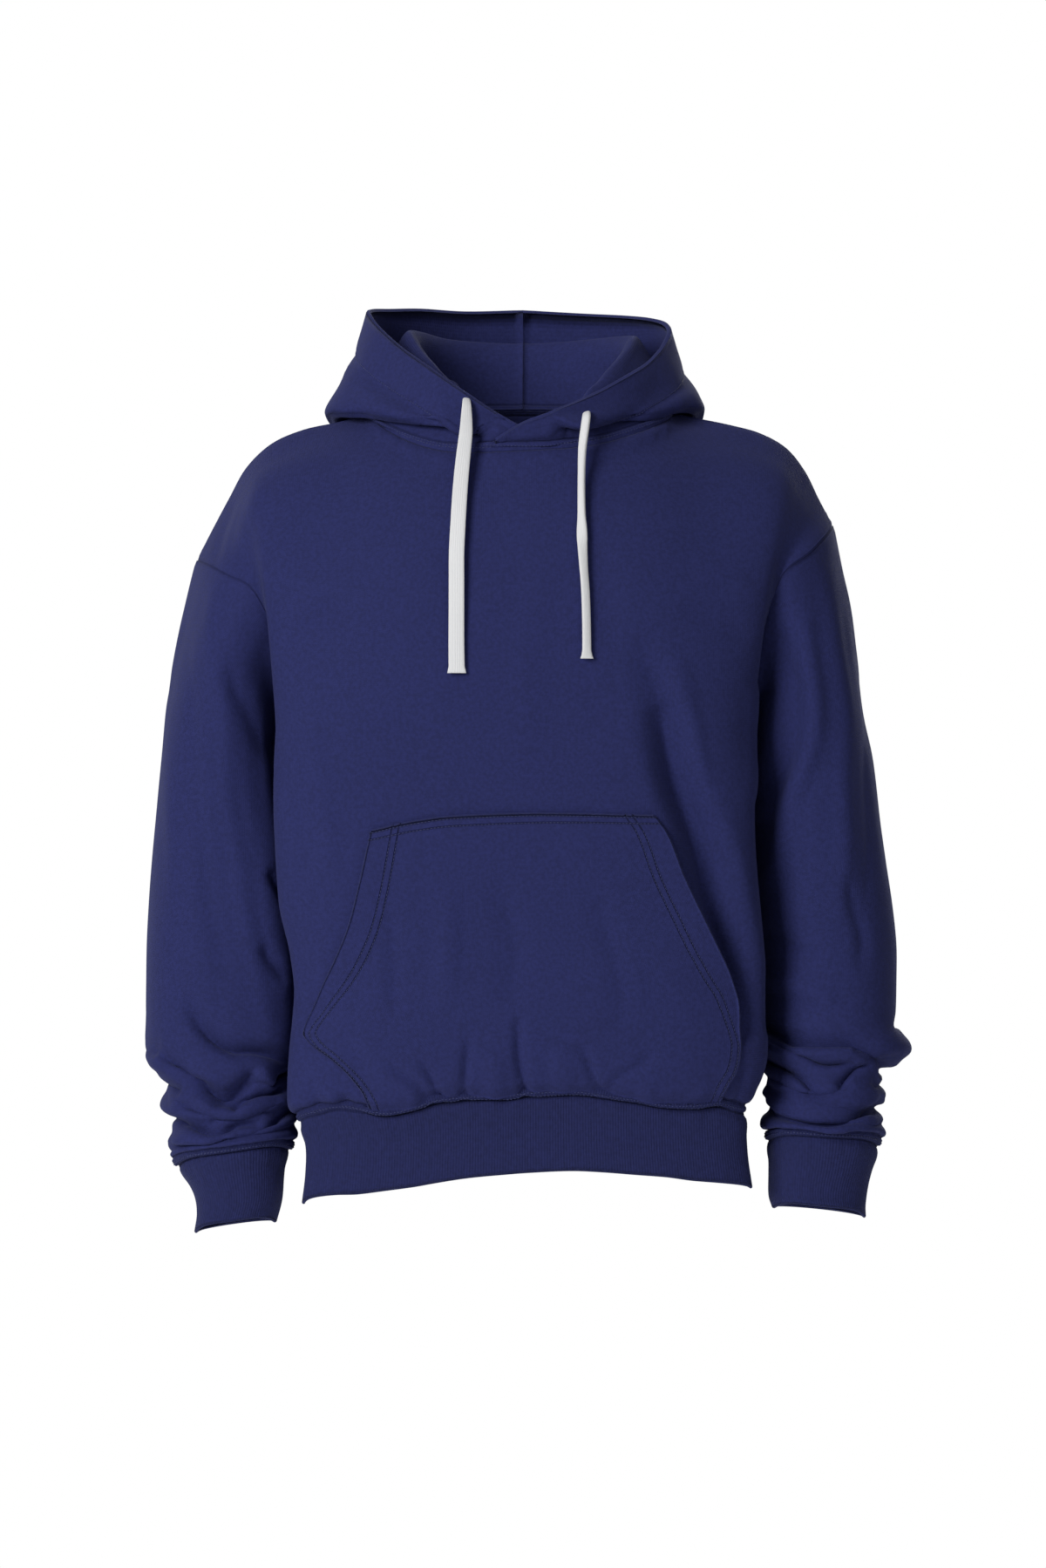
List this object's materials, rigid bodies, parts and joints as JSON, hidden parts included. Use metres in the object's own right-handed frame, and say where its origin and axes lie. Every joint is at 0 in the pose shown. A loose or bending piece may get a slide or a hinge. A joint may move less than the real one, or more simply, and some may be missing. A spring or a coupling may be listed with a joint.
{
  "type": "pullover hoodie",
  "caption": "Worn pullover hoodie with dropped shoulders, full sleeves pushed up above the cuffs, hood lying down, kangaroo pocket, ribbed hem and cuffs, and free flat drawcords.",
  "frame": {"origin": "middle of the base of the neck, where the wearer's neck rises out of the shoulders and the garment hangs from them", "axes": "front towards -Y, wearer's left towards +X, up towards +Z; node names say left for the side at -X"},
  "size_m": [0.6625, 0.3191, 0.8044],
  "materials": {
    "fleece": "navy brushed-back sweatshirt knit, matt",
    "rib": "navy fine ribbed knit, matt",
    "cord": "off-white flat braid, matt"
  },
  "bodies": {
    "root": {"front": "fleece", "back": "fleece", "hem_band": "rib", "sleeve_left": "fleece", "sleeve_right": "fleece", "cuff_left": "rib", "cuff_right": "rib", "hood_left": "fleece", "hood_right": "fleece", "pocket": "fleece", "drawcord_left": "cord", "drawcord_right": "cord"}
  },
  "joints": []
}
